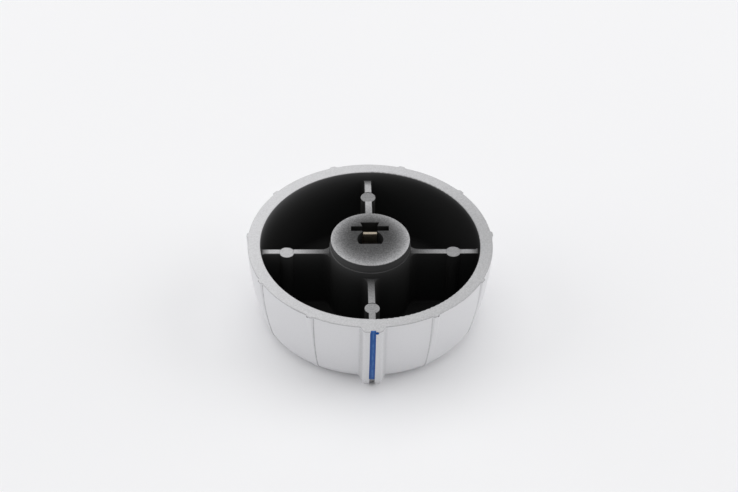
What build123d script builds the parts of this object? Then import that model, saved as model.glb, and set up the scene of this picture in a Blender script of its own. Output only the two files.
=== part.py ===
from build123d import *
from math import cos, radians, tan
import os

# Control knob for a D-shaft: one moulded body, a leaf spring in its hub and a coloured line in its pointer.
# Millimetres. The origin is the centre of the front face, on which the knob lies, and +Z runs out of the
# hollow back along the shaft. The pointer is on the -Y side.

# Bowl
rim_radius = 29.0
rim_height = 20.5
rim_width = 3.0
rim_round = 0.3
foot_inset = 2.8
foot_lean = 16.0
corner_radius = 5.0
wall_thickness = 2.7

# Grip ribs, spread evenly over the side that the pointer leaves free
grip_count = 10
grip_rim_proud = 0.5
grip_foot_proud = 0.15
grip_crest_width = 1.1
grip_crest_round = 0.25
grip_flank_angle = 45.0
grip_free_angle = 30.5

# Pointer ridge and its groove
pointer_rim_proud = 1.6
pointer_foot_proud = 2.0
pointer_crest_width = 4.3
pointer_crest_round = 1.2
pointer_flank_angle = 24.0
pointer_root_round = 0.5
groove_width = 1.25
groove_depth = 0.45
inlay_recess = 0.06

# Hub
hub_radius = 9.35
hub_proud = 1.5
hub_step_drop = 2.3
hub_step = 0.25
hub_edge_round = 0.2

# Shaft socket
shaft_diameter = 6.0
shaft_flat = 1.6
shaft_clearance = 0.1
socket_depth = 14.0

# Cross slot and dovetail notch behind the socket
slot_width = 9.0
slot_thickness = 1.7
slot_offset = 3.8
neck_width = 3.6
notch_width = 4.5
notch_reach = 6.0
notch_depth = 11.0

# Inner ribs and their round pads
web_count = 4
web_thickness = 1.65
web_drop = 2.4
web_flare = 0.6
web_hub_flare = 2.2
pad_diameter = 3.5
pad_inset = 6.3
pad_drop = 0.2

# Leaf spring
strip_thickness = 0.4
spring_clearance = 0.2
spring_key_clearance = 0.25
spring_seat_clearance = 0.05
spring_key_drop = 3.0
spring_heel = 2.3
spring_nip = 2.4
spring_nip_drop = 0.75
spring_flare = 0.3
spring_flare_drop = 0.35
spring_bend = 0.8
spring_nip_bend = 0.5

# How far a cutting shape passes the faces that it cuts
overrun = 1.0

# How far a rib's root lies in the wall
rib_root = 1.0

rim_inner_radius = rim_radius - rim_width
foot_radius = rim_radius - foot_inset
hub_height = rim_height + hub_proud
hub_foot_radius = hub_radius + hub_step
web_height = rim_height - web_drop
pad_height = web_height - pad_drop
pad_circle_radius = rim_inner_radius - pad_inset
bore_diameter = shaft_diameter + 2 * shaft_clearance
bore_flat = shaft_flat + shaft_clearance
slot_far = slot_offset + slot_thickness / 2

# The corner's centre as radius and height
corner_center = (foot_radius - corner_radius * cos(radians(foot_lean)), corner_radius)

# A plane through the axis, with its first direction out through the pointer and its second up
pointer_plane = Plane(origin=(0, 0, 0), x_dir=(0, -1, 0), z_dir=(-1, 0, 0))
rim_plane = Plane.XY.offset(rim_height)


def wall_line(rim_offset, foot_offset, rise=0):
    """Draws the wall's line from the face round the corner and up, set out by the offsets, to a rise past the rim."""
    corner = CenterArc(corner_center, corner_radius + foot_offset, -90, 90 - foot_lean)
    wall = TangentArc(corner @ 1, (rim_radius + rim_offset, rim_height + rise), tangent=corner % 1)
    return corner, wall


def crest_line(rim_proud, foot_proud):
    """Draws a rib's crest on the pointer's plane, from the face up past the rim, and returns it with its parts."""
    with BuildLine(pointer_plane) as crest:
        corner, wall = wall_line(rim_proud, foot_proud, overrun)
        foot = Line((corner_center[0] - rib_root, -foot_proud), corner @ 0)
    return crest.wires()[0], foot, wall


def section_plane(edge):
    """Returns the plane across an edge's start, with its second direction out of the wall."""
    return Plane(origin=edge @ 0, x_dir=(-1, 0, 0), z_dir=edge % 0)


def swept_rib(path, plane, crest_width, crest_round, flank_angle, depth):
    """Sweeps a section with sloping flanks up a crest and trims it at the face and at the rim."""
    width = crest_width + 2 * depth * tan(radians(flank_angle))
    with BuildPart() as rib:
        with BuildSketch(plane) as section:
            with BuildLine():
                Polyline(
                    (-crest_width / 2, 0),
                    (crest_width / 2, 0),
                    (width / 2, -depth),
                    (-width / 2, -depth),
                    close=True,
                )
            make_face()
            fillet(section.vertices().group_by(Axis.Y)[-1], crest_round)
        sweep(path=path)
        split(bisect_by=Plane.XY, keep=Keep.TOP)
        split(bisect_by=rim_plane, keep=Keep.BOTTOM)
    return rib.part


# Grip rib and pointer ridge, both on the pointer's side of the axis
grip_path, grip_foot, _ = crest_line(grip_rim_proud, grip_foot_proud)
with BuildPart() as grip_rib:
    add(
        swept_rib(
            grip_path,
            section_plane(grip_foot),
            grip_crest_width,
            grip_crest_round,
            grip_flank_angle,
            grip_rim_proud + rib_root,
        )
    )
    # The top's three outer edges: the crest and its two rounds
    fillet(grip_rib.faces().sort_by(Axis.Z)[-1].edges().sort_by(Axis.Y)[:3], rim_round)
crest_path, crest_foot, crest_wall = crest_line(pointer_rim_proud, pointer_foot_proud)
crest_plane = section_plane(crest_foot)
pointer_ridge = swept_rib(
    crest_path,
    crest_plane,
    pointer_crest_width,
    pointer_crest_round,
    pointer_flank_angle,
    pointer_foot_proud + rib_root,
)

# Groove along the crest
with BuildPart() as groove:
    with BuildSketch(crest_plane):
        with Locations((0, -groove_depth)):
            Rectangle(groove_width, groove_depth + overrun, align=(Align.CENTER, Align.MIN))
    sweep(path=crest_path)

# Coloured line: it fills the groove up the wall and ends where the corner starts
with BuildPart() as pointer_inlay:
    with BuildSketch(section_plane(crest_wall)):
        with Locations((0, -groove_depth)):
            Rectangle(groove_width, groove_depth - inlay_recess, align=(Align.CENTER, Align.MIN))
    sweep(path=crest_wall)
    split(bisect_by=rim_plane, keep=Keep.BOTTOM)
    fillet(pointer_inlay.edges().group_by(Axis.Z)[-1].sort_by(Axis.Y)[0], rim_round)

# Hollow of the bowl: the space between the wall, the inner ribs, their pads and the hub
with BuildPart() as hollow:
    with BuildSketch(Plane.XZ):
        with BuildLine():
            corner, wall = wall_line(-rim_width, -wall_thickness, -rim_round)
            lip = TangentArc(wall @ 1, (rim_inner_radius + rim_round, rim_height), tangent=wall % 1)
            Polyline(
                lip @ 1,
                (rim_inner_radius + rim_round, rim_height + overrun),
                (0, rim_height + overrun),
                (0, wall_thickness),
                corner @ 0,
            )
        make_face()
    revolve(axis=Axis.Z)
    with BuildSketch() as web_plan:
        Circle(hub_foot_radius)
        with PolarLocations(0, web_count):
            Rectangle(rim_radius, web_thickness, align=(Align.MIN, Align.CENTER))
        fillet(web_plan.vertices().group_by(SortBy.DISTANCE)[0], web_hub_flare)
    extrude(amount=web_height, mode=Mode.SUBTRACT)
    # Below the ribs' tops, only the edges where they run into the bowed wall are free curves
    web_ends = hollow.edges().filter_by(GeomType.BSPLINE)
    fillet(web_ends.filter_by_position(Axis.Z, 0, web_height, inclusive=(True, False)), web_flare)
    with BuildSketch():
        Circle(hub_foot_radius)
    extrude(amount=hub_height - hub_step_drop, mode=Mode.SUBTRACT)
    with BuildSketch():
        Circle(hub_radius)
    extrude(amount=rim_height + overrun, mode=Mode.SUBTRACT)
    with BuildSketch(Plane.XY.offset(web_height)):
        with PolarLocations(pad_circle_radius, web_count):
            Circle(pad_diameter / 2)
    extrude(amount=-pad_drop)
    with BuildSketch():
        with PolarLocations(pad_circle_radius, web_count):
            Circle(pad_diameter / 2)
    extrude(amount=pad_height, mode=Mode.SUBTRACT)

# Body: bowl, grip ribs and pointer, hollowed, with the hub's top and its socket
with BuildPart() as knob_body:
    with BuildSketch(Plane.XZ) as bowl_half:
        with BuildLine():
            corner, wall = wall_line(0, 0)
            Polyline(wall @ 1, (0, rim_height), (0, 0), corner @ 0)
        make_face()
        fillet(bowl_half.vertices().group_by(Axis.Y)[-1].sort_by(Axis.X)[-1], rim_round)
    revolve(axis=Axis.Z)
    add(pointer_ridge)
    # The two longest free curves are the ridge's roots on the wall
    root_lines = knob_body.edges().filter_by(GeomType.BSPLINE).sort_by(SortBy.LENGTH)[-2:]
    fillet(root_lines, pointer_root_round)
    with PolarLocations(0, grip_count, grip_free_angle, 360 - 2 * grip_free_angle, endpoint=True):
        add(grip_rib.part)
    add(groove.part, mode=Mode.SUBTRACT)
    add(hollow.part, mode=Mode.SUBTRACT)
    with BuildSketch(rim_plane):
        Circle(hub_radius)
    extrude(amount=hub_proud)
    fillet(knob_body.faces().sort_by(Axis.Z)[-1].edges(), hub_edge_round)
    with BuildSketch(Plane.XY.offset(hub_height + overrun)):
        Circle(bore_diameter / 2)
        with Locations((0, -bore_flat)):
            Rectangle(bore_diameter, bore_diameter, align=(Align.CENTER, Align.MIN), mode=Mode.INTERSECT)
    extrude(amount=-socket_depth - overrun, mode=Mode.SUBTRACT)
    with BuildSketch(Plane.XY.offset(hub_height + overrun)):
        with Locations((0, slot_offset)):
            Rectangle(slot_width, slot_thickness)
        with BuildLine():
            Polyline(
                (-neck_width / 2, 0),
                (neck_width / 2, 0),
                (neck_width / 2, slot_far),
                (notch_width / 2, notch_reach),
                (-notch_width / 2, notch_reach),
                (-neck_width / 2, slot_far),
                close=True,
            )
        make_face()
    extrude(amount=-notch_depth - overrun, mode=Mode.SUBTRACT)

# Leaf spring: a strip bent to a narrow J, with a wider leg that the notch's dovetail keeps in
strip_width = neck_width - 2 * spring_clearance
key_width = notch_width - 2 * spring_key_clearance
key_line = notch_reach - strip_thickness / 2
heel_height = hub_height - notch_depth + spring_seat_clearance + strip_thickness / 2
nip_line = spring_nip + strip_thickness / 2
with BuildPart() as shaft_spring:
    with BuildLine(Plane.YZ):
        strip_line = FilletPolyline(
            (key_line, hub_height - spring_key_drop),
            (key_line, heel_height),
            (key_line - spring_heel, heel_height),
            (nip_line, hub_height - spring_nip_drop),
            (nip_line + spring_flare, hub_height - spring_flare_drop),
            radius=[spring_bend, spring_bend, spring_nip_bend],
        )
    with BuildSketch(Plane(origin=strip_line @ 0, x_dir=(1, 0, 0), z_dir=strip_line % 0)):
        Rectangle(strip_width, strip_thickness)
    sweep()
    with BuildSketch(Plane.XY.offset(hub_height - spring_key_drop)):
        with Locations((0, key_line)):
            Rectangle(key_width, strip_thickness)
    extrude(amount=heel_height + spring_bend - hub_height + spring_key_drop)

os.makedirs("parts", exist_ok=True)
knob_body.part.label = "knob_body"
export_step(knob_body.part, "parts/knob_body.step")
shaft_spring.part.label = "shaft_spring"
export_step(shaft_spring.part, "parts/shaft_spring.step")
pointer_inlay.part.label = "pointer_inlay"
export_step(pointer_inlay.part, "parts/pointer_inlay.step")
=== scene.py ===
import logging
import math
from dataclasses import dataclass
from enum import Enum
from functools import reduce

import bmesh
import bpy
from mathutils import Matrix, Vector

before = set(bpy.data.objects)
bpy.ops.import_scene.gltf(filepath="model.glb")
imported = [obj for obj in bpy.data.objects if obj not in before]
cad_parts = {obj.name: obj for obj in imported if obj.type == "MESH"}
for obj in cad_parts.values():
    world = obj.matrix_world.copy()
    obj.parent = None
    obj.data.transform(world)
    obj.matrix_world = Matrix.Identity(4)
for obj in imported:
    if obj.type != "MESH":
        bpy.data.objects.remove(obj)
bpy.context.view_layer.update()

log = logging.getLogger("control_knob")

MM = 0.001
IMAGE_WIDTH_PX = 738

Socket = bpy.types.NodeSocket
Given = Socket | float | tuple | None


class Node(Enum):
    """The CAD nodes that the scene dresses."""

    BODY = "knob_body"
    SPRING = "shaft_spring"
    LINE = "pointer_inlay"


def linear(colour: str) -> tuple[float, float, float, float]:
    """Turns an sRGB hex colour to linear.

    Args:
        colour: six hex digits after a hash sign.

    Returns:
        Linear red, green and blue, and an alpha of 1.
    """
    shares = [int(colour[i:i + 2], 16) / 255 for i in (1, 3, 5)]
    return *[s / 12.92 if s <= 0.04045 else ((s + 0.055) / 1.055) ** 2.4 for s in shares], 1.0


class Graph:
    """A material and the one way in which nodes are added to it."""

    def __init__(self, name: str) -> None:
        """Starts an empty material.

        Args:
            name: the material's name, which says what it is and how its surface was made.
        """
        self.material = bpy.data.materials.new(name)
        self.material.use_nodes = True
        self.tree = self.material.node_tree
        self.tree.nodes.clear()

    def add(self, kind: str, *values: Given, out: int | str = 0, inputs: dict | None = None,
            **settings: str) -> Socket:
        """Adds a node with its settings and links.

        Args:
            kind: the node's type without its prefix, and its operation after a dot where it has one.
            values: sockets or constants for the first inputs, in order. None leaves an input as it is.
            out: the output to return.
            inputs: further sockets or constants, by an input's name or number.
            settings: the node's own properties.

        Returns:
            The output socket that out names.
        """
        kind, _, operation = kind.partition(".")
        node = self.tree.nodes.new("ShaderNode" + kind)
        if operation:
            node.operation = operation
        for name, value in settings.items():
            setattr(node, name, value)
        for key, value in {**dict(enumerate(values)), **(inputs or {})}.items():
            if isinstance(value, Socket):
                self.tree.links.new(value, node.inputs[key])
            elif value is not None:
                node.inputs[key].default_value = value
        return node.outputs[out]

    def fold(self, kind: str, *values: Given) -> Socket:
        """Joins several values by one kind of node, two at a time."""
        return reduce(lambda first, second: self.add(kind, first, second), values)

    def product(self, *values: Given) -> Socket:
        """Multiplies several values."""
        return self.fold("Math.MULTIPLY", *values)

    def away(self, value: Given, middle: float) -> Socket:
        """Measures how far a value is from a middle one."""
        return self.add("Math.ABSOLUTE", self.add("Math.SUBTRACT", value, middle))

    def ramp(self, value: Given, start: Given, stop: Given, low: Given = 0.0, high: Given = 1.0) -> Socket:
        """Leads a value from one range to another and holds it at the ends."""
        return self.add("MapRange", value, start, stop, low, high)

    def ease(self, value: Given, start: Given, stop: Given, low: Given = 0.0, high: Given = 1.0) -> Socket:
        """Leads a value from one range to another with soft ends."""
        return self.add("MapRange", value, start, stop, low, high, interpolation_type="SMOOTHSTEP")

    def blend(self, share: Given, first: Given, second: Given) -> Socket:
        """Mixes two colours by a share of the second."""
        return self.add("Mix", share, inputs={6: first, 7: second}, out=2, data_type="RGBA")

    def finish(self, shader: Socket) -> None:
        """Leads a shader to the material's surface."""
        output = self.tree.nodes.new("ShaderNodeOutputMaterial")
        self.tree.links.new(shader, output.inputs["Surface"])


@dataclass(frozen=True)
class KnobForm:
    """Sizes of the moulding that its paint follows, in millimetres and degrees."""

    rim_height: float = 20.5
    rim_radius: float = 29.0
    rim_inner_radius: float = 26.0
    floor_height: float = 2.7
    mid_wall_foot: float = 24.35
    mid_wall_lean: float = 0.154
    web_height: float = 18.1
    web_half: float = 0.825
    web_reach: float = 25.6
    web_flare: float = 0.6
    web_hub_flare: float = 2.2
    pad_height: float = 17.9
    pad_radius: float = 1.75
    pad_circle: float = 19.7
    hub_height: float = 22.0
    hub_radius: float = 9.35
    hub_step_height: float = 19.7
    hub_step: float = 0.25
    grip_first: float = 30.5
    grip_pitch: float = 299 / 9
    grip_half: float = 1.05
    grip_foot_half: float = 0.7
    tab_middle: float = 0.55
    crest_radius: float = 30.6
    groove_half: float = 0.625
    flank_middle: float = 2.75
    line_foot: float = 3.07


@dataclass(frozen=True)
class Drift:
    """A share of spray that drifts: its value on the axis, and its change per millimetre right and back."""

    middle: float
    to_right: float = 0.0
    to_back: float = 0.0


@dataclass(frozen=True)
class SprayShares:
    """How much spray each place got, as shares of full cover, and how much is taken off where it is thin and
    as painted shade.

    A pair gives two ends: at the pointer and beside it for the rim, in front and behind for the webs at the
    hub, off and on the web for the haze, the middle and the sides for the hub, and else left and right.
    """

    rim: Drift = Drift(0.685, -0.003, 0.0016)
    # a dip in the rim's share round a turn to the right and back of the pointer
    rim_dip: float = 0.07
    rim_dip_turn: float = 105.0
    rim_dip_spread: float = 45.0
    web: Drift = Drift(0.475, -0.0047, 0.0045)
    web_sideways: float = 0.0028
    web_at_hub: tuple[float, float] = (0.06, 0.17)
    web_at_wall: float = 0.3
    web_skew: float = 0.006
    web_missed: float = 0.12
    haze: tuple[float, float] = (0.04, 0.2)
    # pads: set below the rib tops as painted shade for their shallow recess, and drifting like the spray
    pad: Drift = Drift(0.35, -0.006, -0.0014)
    pad_sideways: float = 0.0085
    hub: Drift = Drift(0.07, 0.0, -0.006)
    hub_edge: tuple[float, float] = (0.33, 0.5)
    hub_power: float = 2.8
    mist: Drift = Drift(0.092, -0.0034)
    mist_fall: float = 0.4
    lip: float = 0.12
    lip_fall: float = 1.4
    step: float = 0.05
    step_sides: tuple[float, float] = (1.5, 0.5)
    thin_grip: tuple[float, float] = (0.5, 0.22)
    thin_tab: float = 0.8
    thin_rim: tuple[float, float] = (0.08, 0.22)
    # painted shade on the pointer's flanks, left and right
    flank_shade: tuple[float, float] = (0.2, 0.15)
    # the pointer's crest a little darker
    crest_dimming: float = 0.06
    # painted shade in the groove where it turns under below the line's foot
    groove_shade: float = 0.6


@dataclass
class Place:
    """Sockets that say where a point lies on the knob, in millimetres and degrees.

    Side is the distance from the pointer's plane, near and far are the distances from the nearer and the
    farther rib's line, beyond is measured from the wall's middle, and turn goes round from the pointer.
    """

    point: Socket
    x: Socket
    y: Socket
    z: Socket
    side: Socket
    near: Socket
    far: Socket
    radius: Socket
    beyond: Socket
    turn: Socket
    grain: Socket
    cloud: Socket


@dataclass
class SprayMasks:
    """Where spray lies on the moulding, as shares from bare plastic to full paint, drawn into one graph."""

    g: Graph
    at: Place
    form: KnobForm
    shares: SprayShares

    def drift(self, share: Drift) -> Socket:
        """Works out a drifting share at the place."""
        across = self.g.add("Math.MULTIPLY_ADD", self.at.x, share.to_right, share.middle)
        return self.g.add("Math.MULTIPLY_ADD", self.at.y, share.to_back, across)

    def lower_wall(self) -> Socket:
        """Marks what lies below the rim's rounded edge."""
        return self.g.ramp(self.at.z, self.form.rim_height - 0.3, self.form.rim_height - 0.6)

    def beside_pointer(self) -> Socket:
        """Marks the wall but for the pointer."""
        return self.g.ramp(self.g.add("Math.ABSOLUTE", self.at.turn), 15.0, 20.0)

    def pointer_half(self) -> Socket:
        """Marks the half of the knob that has the pointer, the only one whose wear shows in the photo."""
        return self.g.ramp(self.at.y, 6.0, -6.0)

    def off_rim_edge(self) -> Socket:
        """Measures how far a point is above or below the rim's outer edge."""
        return self.g.away(self.at.z, self.form.rim_height - 0.3)

    def outside(self) -> Socket:
        """Covers what the spray met straight.

        Returns:
            The share on the wall outside its middle, and on the front face.
        """
        g, at, f = self.g, self.at, self.form
        below_rim = g.ease(at.z, f.rim_height - 0.1, f.rim_height - 0.25)
        wall = g.product(g.ease(at.beyond, -0.2, 0.2), below_rim)
        under = g.ease(at.z, f.floor_height / 2, f.floor_height / 3)
        return g.add("Math.MAXIMUM", wall, under)

    def rim(self) -> Socket:
        """Covers the rim's top, where the spray thins to the right and front.

        Returns:
            The share on the rim.
        """
        g, at, f, s = self.g, self.at, self.form, self.shares
        top = g.ease(at.z, f.rim_height - 0.25, f.rim_height - 0.1)
        ring = g.ease(at.radius, f.rim_inner_radius - 0.3, f.rim_inner_radius)
        # the rim a little darker round a turn to the right and back of the pointer
        uneven = g.ease(g.away(at.turn, s.rim_dip_turn), s.rim_dip_spread, 0.0, 0.0, s.rim_dip)
        return g.product(top, ring, g.add("Math.SUBTRACT", self.drift(s.rim), uneven))

    def pads(self) -> Socket:
        """Covers the round pads on the inner ribs, darker than the rib tops as painted shade for their
        shallow recess.

        Returns:
            The share on the four pads.
        """
        g, at, f, s = self.g, self.at, self.form, self.shares
        off_pad = g.add("CombineXYZ", at.near, g.add("Math.SUBTRACT", at.far, f.pad_circle))
        disc = g.ramp(g.add("VectorMath.LENGTH", off_pad, out="Value"), f.pad_radius + 0.05, f.pad_radius)
        top = g.ramp(at.z, f.pad_height - 0.1, f.pad_height - 0.02)
        # the pads' lower share is painted shade for their shallow recess
        share = g.add("Math.MULTIPLY_ADD", at.side, s.pad_sideways, self.drift(s.pad))
        return g.product(disc, top, share)

    def webs(self) -> Socket:
        """Covers the tops of the inner ribs, which are dark towards the hub and fade into the wall.

        Returns:
            The share on the four ribs, with the haze on their flares behind the hub's middle.
        """
        g, at, f, s = self.g, self.at, self.form, self.shares
        hub_foot = f.hub_radius + f.hub_step
        top = g.product(
            g.ramp(at.z, f.web_height - 0.1, f.web_height - 0.02),
            g.ramp(at.z, f.web_height + 0.1, f.web_height + 0.02),
            g.ramp(at.radius, f.web_reach, f.web_reach - 0.2),
            g.ramp(at.radius, hub_foot, hub_foot + 0.1),
        )
        # In the photo the pale band is a little narrower than the rib and a little askew
        off_x = g.add("Math.ABSOLUTE", g.add("Math.MULTIPLY_ADD", at.y, -s.web_skew, at.x))
        off_y = g.add("Math.ABSOLUTE", g.add("Math.MULTIPLY_ADD", at.x, s.web_skew, at.y))
        band = g.add("Math.MINIMUM", off_x, g.add("Math.ADD", off_y, s.web_missed))
        wider = g.ramp(at.radius, f.web_reach - f.web_flare, f.web_reach, 0.0, f.web_flare)
        body = g.ramp(g.fold("Math.SUBTRACT", band, f.web_half, wider), 0.05, -0.05)
        start = g.ramp(at.y, -6.0, 0.0, *s.web_at_hub)
        along = g.ramp(at.radius, f.hub_radius, f.hub_radius * 1.9, start, 1.0)
        end = g.ramp(at.radius, f.web_reach - 3 * f.web_flare, f.web_reach, 1.0, s.web_at_wall)
        share = g.add("Math.MULTIPLY_ADD", at.side, s.web_sideways, self.drift(s.web))
        haze = g.product(
            g.ramp(g.add("Math.SUBTRACT", at.near, f.web_half), f.web_hub_flare, 0.0, *s.haze),
            g.ramp(at.radius, f.hub_radius + 1.6 * f.web_hub_flare, f.hub_radius),
            g.ramp(at.y, 0.0, 0.5),
        )
        return g.product(top, g.add("Math.MAXIMUM", g.product(body, along, share, end), haze))

    def hub(self) -> Socket:
        """Covers the hub's top, light at its edge and dark round the socket.

        Returns:
            The share on the hub's top.
        """
        g, at, f, s = self.g, self.at, self.form, self.shares
        top = g.ease(at.z, f.hub_height - 0.2, f.hub_height - 0.05)
        out = g.add("Math.POWER", g.ramp(at.radius, f.hub_radius * 0.3, f.hub_radius), s.hub_power)
        edge = g.ramp(at.side, 0.0, f.hub_radius, *s.hub_edge)
        return g.product(top, g.add("Math.MULTIPLY_ADD", out, edge, self.drift(s.hub)))

    def mist(self) -> Socket:
        """Lays thin mist on the bowl's inner wall, the hub's wall and its step, which dies out with depth.

        Returns:
            The share of mist.
        """
        g, at, f, s = self.g, self.at, self.form, self.shares
        depth = g.add("Math.MAXIMUM", g.add("Math.SUBTRACT", f.rim_height, at.z), 0.0)
        fall = g.add("Math.EXPONENT", g.product(depth, -s.mist_fall))
        near_wall = g.ramp(at.radius, f.hub_radius * 1.5, f.hub_radius * 1.6)
        lip = g.product(g.add("Math.EXPONENT", g.product(depth, -s.lip_fall)), s.lip, near_wall)
        step = g.product(
            g.ramp(g.away(at.z, f.hub_step_height), 0.06, 0.02, 0.0, s.step),
            g.ramp(at.x, -f.hub_radius, f.hub_radius, *s.step_sides),
            g.ramp(at.radius, f.hub_radius + 2 * f.hub_step, f.hub_radius + f.hub_step),
        )
        share = g.add("Math.MULTIPLY_ADD", fall, self.drift(s.mist), lip)
        outside_socket = g.ramp(at.radius, f.hub_radius - 0.3, f.hub_radius - 0.1)
        return g.product(g.add("Math.ADD", share, step), outside_socket)

    def across_grip(self) -> Socket:
        """Measures across the nearest grip rib.

        Returns:
            Millimetres from the rib's middle, positive away from the pointer.
        """
        g, f = self.g, self.form
        turn = g.add("Math.SUBTRACT", g.add("Math.ABSOLUTE", self.at.turn), f.grip_first)
        cycle = g.add("Math.DIVIDE", turn, f.grip_pitch)
        off = g.add("Math.SUBTRACT", g.add("Math.FRACT", g.add("Math.ADD", cycle, 0.5)), 0.5)
        return g.product(off, math.radians(f.grip_pitch), f.rim_radius)

    def thin_grips(self) -> Socket:
        """Thins the spray on the grip ribs' flanks that face the pointer, and on their top corners.

        Returns:
            The share that is missing.
        """
        g, at, f, s = self.g, self.at, self.form, self.shares
        across, beside = self.across_grip(), self.beside_pointer()
        half = g.ramp(at.z, 0.0, f.rim_height, f.grip_foot_half, f.grip_half)
        flank = g.ease(g.add("Math.ABSOLUTE", g.add("Math.ADD", across, half)), 0.2, 0.05)
        uneven = g.ramp(at.cloud, 0.35, 0.6, 0.6, 1.0)
        share = g.ramp(at.x, -f.rim_radius, f.rim_radius, *s.thin_grip)
        line = g.product(flank, self.lower_wall(), beside, share, uneven)
        tab = g.product(
            g.ease(g.away(across, f.tab_middle), 0.45, 0.15),
            g.ease(self.off_rim_edge(), 0.22, 0.05),
            g.ramp(at.radius, f.rim_radius - 0.1, f.rim_radius + 0.2),
            self.pointer_half(),
            beside,
            s.thin_tab,
        )
        return g.add("Math.MAXIMUM", line, tab)

    def thin_rim(self) -> Socket:
        """Thins the spray in a broken line along the rim's outer edge.

        Returns:
            The share that is missing.
        """
        g, at, f, s = self.g, self.at, self.form, self.shares
        edge = g.ease(self.off_rim_edge(), 0.16, 0.04)
        outer = g.ramp(at.radius, f.rim_radius - 1.0, f.rim_radius - 0.6)
        uneven = g.ramp(at.cloud, 0.4, 0.6, 0.2, 1.0)
        share = g.ramp(self.beside_pointer(), 0.0, 1.0, *s.thin_rim)
        return g.product(edge, outer, self.pointer_half(), uneven, share)

    def darken_pointer(self) -> Socket:
        """Darkens the pointer's flanks and the groove below the line's foot with painted shade, and its crest
        a little.

        Returns:
            The share that is taken off the cover.
        """
        g, at, f, s = self.g, self.at, self.form, self.shares
        # painted shade on the pointer's sloped flanks, which face sideways
        flank = g.product(
            g.ease(g.away(at.side, f.flank_middle), 0.7, 0.2),
            g.ramp(at.x, -f.flank_middle, f.flank_middle, *s.flank_shade),
            g.ramp(at.beyond, 0.5, 1.0),
            g.ramp(at.y, 0.0, -5.0),
            self.lower_wall(),
        )
        # the crest a little darker
        crest = g.ramp(at.beyond, 2.3, 2.8, 0.0, s.crest_dimming)
        # painted shade where the groove turns under below the line's foot
        groove = g.product(
            g.ramp(at.side, f.groove_half + 0.03, f.groove_half - 0.03),
            g.ramp(at.y, -18.0, -19.0),
            g.ramp(at.z, f.line_foot + 0.1, f.line_foot - 0.1),
            s.groove_shade,
        )
        return g.fold("Math.MAXIMUM", flank, crest, groove)

    def blue(self) -> Socket:
        """Lets the line's blue run past the groove.

        Returns:
            The share of blue: a spur at the pointer's top and a seam along the groove's left edge.
        """
        g, at, f = self.g, self.at, self.form
        centre = (f.groove_half + 0.25, -f.crest_radius, f.rim_height - 0.45)
        halves = (0.5, 0.6, 0.45)
        off_spur = g.add("VectorMath.DIVIDE", g.add("VectorMath.SUBTRACT", at.point, centre), halves)
        spur = g.ease(g.add("VectorMath.LENGTH", off_spur, out="Value"), 1.1, 0.7)
        seam = g.product(
            g.ramp(g.away(at.x, -f.groove_half), 0.2, 0.1),
            g.ramp(at.beyond, 2.0, 2.3),
            g.ramp(at.z, f.line_foot, f.line_foot + 0.4),
            g.ramp(at.z, f.rim_height - 0.2, f.rim_height - 0.4),
        )
        return g.add("Math.MAXIMUM", spur, seam)

    def cover(self) -> Socket:
        """Joins the masks of the straight spray, less where it is thin and where painted shade is taken off.

        Returns:
            The share of cover, without grain and mist.
        """
        g = self.g
        laid = g.fold("Math.MAXIMUM", self.outside(), self.rim(), self.pads(), self.webs(), self.hub())
        # thin spray on the grips and the rim's edge, and painted shade on the pointer
        thin = g.fold("Math.MAXIMUM", self.thin_grips(), self.thin_rim(), self.darken_pointer())
        return g.product(laid, g.add("Math.SUBTRACT", 1.0, thin))


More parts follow.
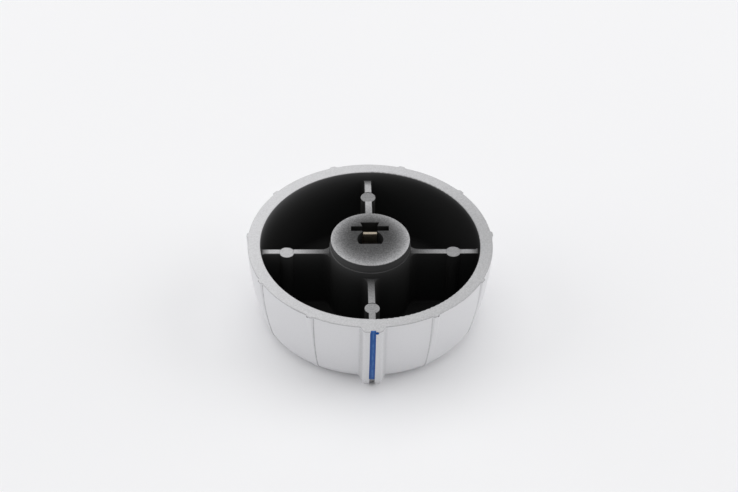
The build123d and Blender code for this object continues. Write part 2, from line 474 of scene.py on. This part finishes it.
@dataclass(frozen=True)
class SprayedMoulding:
    """Black ABS, injection moulded and then sprayed silver from outside.

    The outside has a satin metal grey with a fine flake. Inside the bowl the spray only drifted in: the tops
    of the ribs and the hub have a fine grey mist, and the walls fall off to black.
    """

    form: KnobForm
    shares: SprayShares = SprayShares()
    silver: str = "#DEDEE0"
    plastic: str = "#262626"
    blue: str = "#0E4A90"
    grain_mm: float = 0.3
    grain_depth: float = 0.28
    hub_grain_depth: float = 0.42
    cloud_mm: float = 1.6

    def place(self, g: Graph) -> Place:
        """Measures where a point lies.

        Args:
            g: the material's graph.

        Returns:
            The sockets that the masks read.
        """
        spot = g.add("TexCoord", out="Object")
        point = g.add("VectorMath.SCALE", spot, inputs={"Scale": 1 / MM})
        x, y, z = (g.add("SeparateXYZ", point, out=axis) for axis in "XYZ")
        side, ahead = (g.add("Math.ABSOLUTE", value) for value in (x, y))
        near, far = g.add("Math.MINIMUM", side, ahead), g.add("Math.MAXIMUM", side, ahead)
        radius = g.add("VectorMath.LENGTH", g.add("CombineXYZ", x, y), out="Value")
        middle = g.add("Math.MULTIPLY_ADD", z, self.form.mid_wall_lean, self.form.mid_wall_foot)
        beyond = g.add("Math.SUBTRACT", radius, middle)
        turn = g.add("Math.DEGREES", g.add("Math.ARCTAN2", x, g.product(y, -1.0)))
        grain = g.add("TexNoise", point, inputs={"Scale": 1 / self.grain_mm, "Detail": 1.0})
        cloud = g.add("TexNoise", point, inputs={"Scale": 1 / self.cloud_mm, "Detail": 3.0, "Roughness": 0.6})
        return Place(point, x, y, z, side, near, far, radius, beyond, turn, grain, cloud)

    def material(self) -> bpy.types.Material:
        """Makes the moulding's material.

        Returns:
            Silver spray over black plastic, laid by the masks.
        """
        g = Graph("Black_ABS_moulded_sprayed_silver")
        at, f = self.place(g), self.form
        masks = SprayMasks(g, at, f, self.shares)
        cover = masks.cover()
        depth = g.ramp(at.z, f.rim_height, f.hub_height, self.grain_depth, self.hub_grain_depth)
        spread = g.product(cover, g.add("Math.SUBTRACT", 1.1, cover), depth)
        fleck = g.ramp(at.grain, 0.25, 0.75, -1.0, 1.0)
        paint = g.add("Math.MULTIPLY_ADD", fleck, spread, cover)
        paint = g.add("Math.MAXIMUM", paint, masks.mist())
        colour = g.blend(paint, linear(self.plastic), linear(self.silver))
        colour = g.blend(masks.blue(), colour, linear(self.blue))
        metallic = g.product(paint, 0.35)
        rough = g.ramp(paint, 0.0, 1.0, 0.6, 0.45)
        g.finish(g.add("BsdfPrincipled", colour, metallic, rough, inputs={"Specular IOR Level": 0.03}))
        return g.material


@dataclass(frozen=True)
class RolledStrip:
    """Phosphor bronze strip, cold rolled and left bare: a dull warm metal with fine lines along it."""

    bronze: str = "#C2B8A9"
    tarnish: str = "#A09583"
    line_mm: float = 0.12

    def material(self) -> bpy.types.Material:
        """Makes the strip's material.

        Returns:
            A metal whose tone and gloss vary in lines along the strip.
        """
        g = Graph("Phosphor_bronze_strip_cold_rolled")
        spot = g.add("VectorMath.MULTIPLY", g.add("TexCoord", out="Object"), (1 / MM, 0.1 / MM, 0.1 / MM))
        lines = g.add("TexNoise", spot, inputs={"Scale": 1 / self.line_mm, "Detail": 2.0})
        colour = g.blend(lines, linear(self.tarnish), linear(self.bronze))
        rough = g.ramp(lines, 0.3, 0.7, 0.38, 0.28)
        g.finish(g.add("BsdfPrincipled", colour, 0.9, rough))
        return g.material


@dataclass(frozen=True)
class FillPaint:
    """Blue enamel, run into the groove by hand: semi-gloss, with a painted highlight as a lighter streak down
    its middle.
    """

    form: KnobForm
    blue: str = "#084890"
    # the lighter blue of a painted highlight down the line's middle
    thin: str = "#4C7CB8"
    highlight_mm: float = 0.35

    def material(self) -> bpy.types.Material:
        """Makes the line's material.

        Returns:
            Enamel with a painted highlight: a lighter streak that wanders along the groove's middle.
        """
        g = Graph("Blue_enamel_run_into_groove")
        point = g.add("VectorMath.SCALE", g.add("TexCoord", out="Object"), inputs={"Scale": 1 / MM})
        drawn = g.add("VectorMath.MULTIPLY", point, (1.0, 0.25, 0.25))
        wander = g.add("TexNoise", drawn, inputs={"Scale": 1 / self.highlight_mm, "Detail": 2.0})
        x = g.add("SeparateXYZ", point)
        middle = g.ease(g.add("Math.ABSOLUTE", x), self.form.groove_half * 0.7, 0.0)
        # painted highlight: a lighter streak down the groove's middle
        highlight = g.product(middle, g.ramp(wander, 0.35, 0.65, 0.1, 0.7))
        colour = g.blend(highlight, linear(self.blue), linear(self.thin))
        g.finish(g.add("BsdfPrincipled", colour, 0.0, 0.35, inputs={"Specular IOR Level": 0.3}))
        return g.material


@dataclass(frozen=True)
class PaperSweep:
    """White card, matt: an even pale ground with hardly any grain."""

    white: str = "#F6F6F7"
    shade: str = "#F3F3F5"
    cloud_mm: float = 120.0

    def material(self) -> bpy.types.Material:
        """Makes the floor's material.

        Returns:
            Matt card with a very faint cloud in its tone.
        """
        g = Graph("White_card_matt")
        spot = g.add("TexCoord", out="Object")
        cloud = g.add("TexNoise", spot, inputs={"Scale": 1 / (self.cloud_mm * MM)})
        colour = g.blend(cloud, linear(self.shade), linear(self.white))
        g.finish(g.add("BsdfPrincipled", colour, 0.0, 0.9, inputs={"Specular IOR Level": 0.05}))
        return g.material


@dataclass
class Knob:
    """The knob as it was packed: the moulding, the spring in its hub and the line in its pointer."""

    form: KnobForm

    def dress(self, node: Node, material: bpy.types.Material) -> bpy.types.Object:
        """Puts a material on a CAD node.

        Args:
            node: the node to dress.
            material: its finish.

        Returns:
            The dressed node.
        """
        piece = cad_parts[node.value]
        piece.data.materials.clear()
        piece.data.materials.append(material)
        return piece

    def build(self) -> list[bpy.types.Object]:
        """Dresses every node of the knob.

        Returns:
            The knob's pieces.
        """
        return [
            self.dress(Node.BODY, SprayedMoulding(self.form).material()),
            self.dress(Node.SPRING, RolledStrip().material()),
            self.dress(Node.LINE, FillPaint(self.form).material()),
        ]


@dataclass(frozen=True)
class Lamp:
    """A square soft lamp that is aimed at the knob, in metres and watts."""

    name: str
    place: tuple[float, float, float]
    size: float
    watts: float

    def build(self) -> bpy.types.Object:
        """Hangs the lamp.

        Returns:
            The lamp.
        """
        data = bpy.data.lights.new(self.name, "AREA")
        data.size = self.size
        data.energy = self.watts
        lamp = bpy.data.objects.new(self.name, data)
        lamp.location = self.place
        lamp.rotation_euler = (-lamp.location).to_track_quat("-Z", "Y").to_euler()
        bpy.context.scene.collection.objects.link(lamp)
        return lamp


@dataclass
class Studio:
    """A white table with soft light from all round, a wide lamp above and one at each side."""

    floor_half: float = 1.5
    floor_gap: float = 0.02 * MM
    ambient: float = 0.515
    lamps: tuple[Lamp, ...] = (
        Lamp("top_lamp", (-0.1, 0.5, 1.4), 1.5, 7.7),
        Lamp("left_lamp", (-1.3, 0.15, 0.65), 1.3, 6.2),
        Lamp("right_lamp", (1.3, 0.15, 0.65), 1.3, 7.2),
    )

    def floor(self) -> bpy.types.Object:
        """Lays the table's card.

        Returns:
            The floor, which isn't part of the knob.
        """
        mesh = bpy.data.meshes.new("floor")
        shape = bmesh.new()
        bmesh.ops.create_grid(shape, x_segments=1, y_segments=1, size=self.floor_half)
        bmesh.ops.translate(shape, verts=shape.verts, vec=(0, 0, -self.floor_gap))
        shape.to_mesh(mesh)
        shape.free()
        floor = bpy.data.objects.new("floor", mesh)
        bpy.context.scene.collection.objects.link(floor)
        mesh.materials.append(PaperSweep().material())
        return floor

    def sky(self) -> None:
        """Lights the room evenly, and shows plain white to the camera and in gloss."""
        world = bpy.data.worlds.new("white_room")
        bpy.context.scene.world = world
        world.use_nodes = True
        tree = world.node_tree
        background = tree.nodes["Background"]
        background.inputs["Color"].default_value = (1, 1, 1, 1)
        path = tree.nodes.new("ShaderNodeLightPath")
        seen = path.outputs["Is Camera Ray"]
        for name in ("Is Glossy Ray", "Is Transmission Ray"):
            both = tree.nodes.new("ShaderNodeMath")
            both.operation = "MAXIMUM"
            tree.links.new(seen, both.inputs[0])
            tree.links.new(path.outputs[name], both.inputs[1])
            seen = both.outputs[0]
        level = tree.nodes.new("ShaderNodeMapRange")
        level.inputs["To Min"].default_value = self.ambient
        tree.links.new(seen, level.inputs["Value"])
        tree.links.new(level.outputs[0], background.inputs["Strength"])

    def build(self) -> None:
        """Sets out the floor, the lamps and the room's light."""
        self.floor()
        for lamp in self.lamps:
            lamp.build()
        self.sky()


@dataclass
class PhotoCamera:
    """The camera as it stood: lengths in millimetres, angles in degrees, framing in pixels."""

    target_height: float = 20.5
    distance: float = 972.0
    elevation: float = 41.67
    azimuth: float = 2.22
    roll: float = 1.18
    lens: float = 200.7
    target_right_px: float = 1.24
    target_up_px: float = 2.15

    def build(self) -> bpy.types.Object:
        """Sets up the camera and makes it the scene's.

        Returns:
            The camera.
        """
        data = bpy.data.cameras.new("photo_camera")
        data.lens = self.lens
        data.shift_x = -self.target_right_px / IMAGE_WIDTH_PX
        data.shift_y = -self.target_up_px / IMAGE_WIDTH_PX
        data.clip_end = 100.0
        camera = bpy.data.objects.new("photo_camera", data)
        rise, turn = math.radians(self.elevation), math.radians(self.azimuth)
        back = Vector((-math.sin(turn) * math.cos(rise), -math.cos(turn) * math.cos(rise), math.sin(rise)))
        aim = (-back).to_track_quat("-Z", "Y").to_matrix().to_4x4()
        place = Matrix.Translation((Vector((0, 0, self.target_height)) + back * self.distance) * MM)
        camera.matrix_world = place @ aim @ Matrix.Rotation(math.radians(self.roll), 4, "Z")
        bpy.context.scene.collection.objects.link(camera)
        bpy.context.scene.camera = camera
        return camera


def main() -> None:
    """Dresses the knob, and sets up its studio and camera."""
    logging.basicConfig(level=logging.INFO)
    bpy.context.scene.view_settings.view_transform = "Standard"
    for piece in Knob(KnobForm()).build():
        log.info("%s: %s", piece.name, piece.data.materials[0].name)
    Studio().build()
    PhotoCamera().build()


if __name__ == "__main__":
    main()
